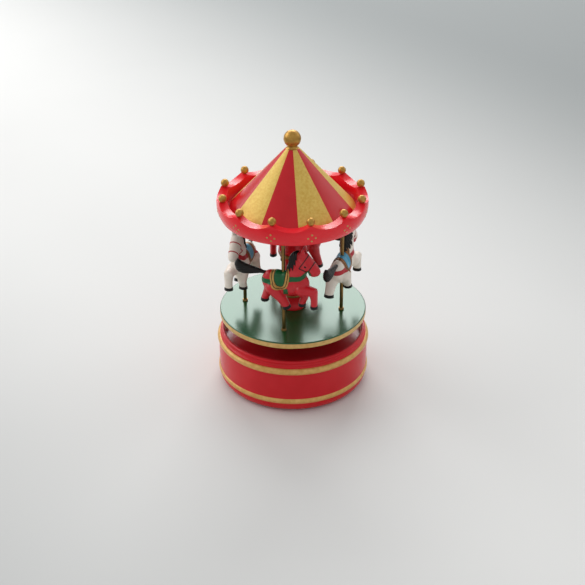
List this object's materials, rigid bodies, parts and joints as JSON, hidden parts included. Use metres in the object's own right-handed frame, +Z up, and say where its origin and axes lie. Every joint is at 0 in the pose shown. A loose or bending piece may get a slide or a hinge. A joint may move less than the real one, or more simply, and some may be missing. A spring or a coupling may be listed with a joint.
{
  "type": "carousel music box",
  "caption": "Round wooden music box whose horse carousel, with a conical roof and scalloped crown, turns on a spring movement in its base.",
  "frame": {"origin": "centre of the base's underside, on the carousel's axis", "axes": "+Z up along the carousel's axis; -Y towards the front, +X to the front's right"},
  "size_m": [0.1002, 0.1002, 0.175],
  "materials": {
    "red_lacquer": "gloss lacquer over turned beech, with gilt beads and bands",
    "green_lacquer": "high gloss dark green lacquer with a gilt edge",
    "roof_lacquer": "satin lacquer in alternate red and gold wedges",
    "gilt_wood": "gold paint over turned beads",
    "polished_brass": "polished and lacquered",
    "horse_red": "hand painted: red coat, green saddle, gilt trim, black mane, tail and hooves",
    "horse_cream": "hand painted: cream coat, blue green saddle, red straps, black mane, tail and hooves",
    "bottom_board": "plain board",
    "movement_brass": "cut and turned brass",
    "movement_steel": "bright steel",
    "cast_zinc": "die cast zinc alloy",
    "governor_plastic": "moulded acetal"
  },
  "bodies": {
    "base": {"base_shell": "red_lacquer", "base_plate": "bottom_board", "base_screws": "movement_steel", "movement_frame": "cast_zinc", "movement_screws": "movement_steel", "spring_housing": "movement_brass", "mainspring": "movement_steel", "comb": "movement_steel", "comb_screws": "movement_steel", "governor_bracket": "movement_steel", "governor_screw": "movement_steel", "deck_bush": "movement_brass"},
    "carousel": {"great_wheel": "movement_brass", "drive_arbor": "movement_steel", "platform_hub": "movement_brass", "hub_screws": "movement_steel", "platform": "green_lacquer", "column": "red_lacquer", "canopy_plate": "red_lacquer", "crown_ring": "red_lacquer", "roof_cone": "roof_lacquer", "finial": "gilt_wood", "pole_1": "polished_brass", "pole_2": "polished_brass", "pole_3": "polished_brass", "pole_4": "polished_brass", "pole_ferrule_1": "polished_brass", "pole_ferrule_2": "polished_brass", "pole_ferrule_3": "polished_brass", "pole_ferrule_4": "polished_brass", "horse_1": "horse_red", "horse_2": "horse_cream", "horse_3": "horse_red", "horse_4": "horse_cream", "crown_ball_1": "gilt_wood", "crown_ball_2": "gilt_wood", "crown_ball_3": "gilt_wood", "crown_ball_4": "gilt_wood", "crown_ball_5": "gilt_wood", "crown_ball_6": "gilt_wood", "crown_ball_7": "gilt_wood", "crown_ball_8": "gilt_wood", "crown_ball_9": "gilt_wood", "crown_ball_10": "gilt_wood", "crown_ball_11": "gilt_wood", "crown_ball_12": "gilt_wood"},
    "cylinder": {"music_cylinder": "movement_brass", "cylinder_staff": "movement_steel", "cylinder_gear": "movement_brass", "cylinder_pinion": "movement_brass"},
    "second_wheel": {"second_wheel": "movement_brass"},
    "governor": {"governor": "governor_plastic"}
  },
  "joints": [
    {"name": "carousel_spin", "type": "hinge", "parent": "base", "child": "carousel", "pos_m": [0, 0, 0.04], "axis": [0, 0, 1], "continuous": true},
    {"name": "cylinder_spin", "type": "hinge", "parent": "base", "child": "cylinder", "pos_m": [0.02, 0, 0.01879], "axis": [1, 0, 0], "continuous": true},
    {"name": "second_wheel_spin", "type": "hinge", "parent": "base", "child": "second_wheel", "pos_m": [0.03, 0.00619, 0.0126], "axis": [1, 0, 0], "continuous": true},
    {"name": "governor_spin", "type": "hinge", "parent": "base", "child": "governor", "pos_m": [0.0305, 0.01179, 0.0126], "axis": [0, 0, 1], "continuous": true}
  ],
  "couplings": [
    {"joint": "cylinder_spin", "follows": "carousel_spin", "ratio": -3},
    {"joint": "second_wheel_spin", "follows": "carousel_spin", "ratio": 12},
    {"joint": "governor_spin", "follows": "carousel_spin", "ratio": -240}
  ]
}
